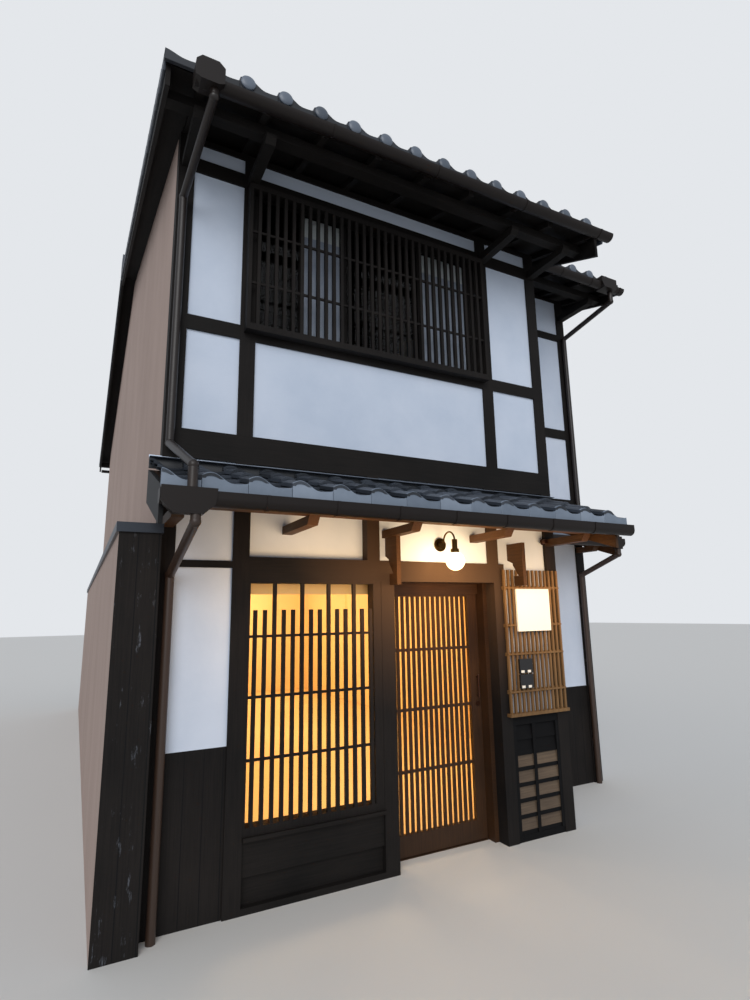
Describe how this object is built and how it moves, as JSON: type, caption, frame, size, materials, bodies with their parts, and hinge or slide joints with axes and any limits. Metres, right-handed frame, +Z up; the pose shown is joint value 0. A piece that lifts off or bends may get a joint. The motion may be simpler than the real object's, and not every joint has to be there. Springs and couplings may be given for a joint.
{
  "type": "machiya townhouse",
  "caption": "Narrow timber-framed townhouse with white plaster panels, lattice windows, a sliding lattice door, a tiled pent roof and a gabled tile roof.",
  "frame": {"origin": "on the ground, under the ridge, midway between the side walls", "axes": "+Z up, +Y from the street front into the house, +X to the right seen from the street"},
  "size_m": [5.295, 11.3165, 7.277],
  "materials": {
    "dark_timber": "stained, weathered",
    "warm_timber": "stained brown, matt",
    "screen_timber": "oiled, thin slats",
    "floor_timber": "planed",
    "plaster": "lime plaster, trowelled",
    "stucco": "sprayed mortar",
    "concrete": "floated",
    "roof_tile": "smoked clay tile, silver grey",
    "coping_metal": "folded sheet",
    "gutter": "brown, satin",
    "black_iron": "black, satin",
    "aged_brass": "aged",
    "glass": "clear",
    "lamp_glass": "opal",
    "board_white": "satin",
    "board_dark": "matt"
  },
  "bodies": {
    "house": {"ground_slab": "concrete", "upper_floor": "floor_timber", "floor_joists": "floor_timber", "lower_posts": "dark_timber", "upper_posts": "dark_timber", "front_girth": "dark_timber", "side_girths": "dark_timber", "cross_girths": "dark_timber", "front_rails": "dark_timber", "wall_plates": "dark_timber", "front_plaster_upper": "plaster", "front_plaster_lower": "plaster", "front_dado": "dark_timber", "left_wall": "stucco", "low_side_wall": "stucco", "low_wall_boards": "dark_timber", "low_wall_coping": "coping_metal", "right_plaster": "plaster", "right_rails": "dark_timber", "rear_plaster": "plaster", "rear_rails": "dark_timber", "rear_dado": "dark_timber", "shop_window_frame": "dark_timber", "shop_window_lattice": "dark_timber", "shop_window_glass": "glass", "shop_window_apron": "dark_timber", "upper_window_lattice": "dark_timber", "upper_window_sashes": "dark_timber", "upper_window_glass": "glass", "door_frame": "warm_timber", "slat_screen": "screen_timber", "lap_siding": "dark_timber", "notice_board": "board_white", "sign_plate": "board_dark", "wall_lamp": "aged_brass", "lamp_globe": "lamp_glass", "pent_deck": "warm_timber", "pent_tiles": "roof_tile", "pent_brackets": "warm_timber", "roof_deck": "dark_timber", "roof_tiles_front": "roof_tile", "roof_tiles_rear": "roof_tile", "ridge": "roof_tile", "verge_boards": "dark_timber", "gutters": "gutter", "downpipes": "gutter"},
    "door": {"door_leaf": "warm_timber", "door_slats": "warm_timber", "door_glass": "glass", "door_pull": "black_iron"}
  },
  "joints": [
    {"name": "door_slide", "type": "slide", "parent": "house", "child": "door", "axis": [-1, 0, 0], "range_m": [0, 0.85]}
  ]
}
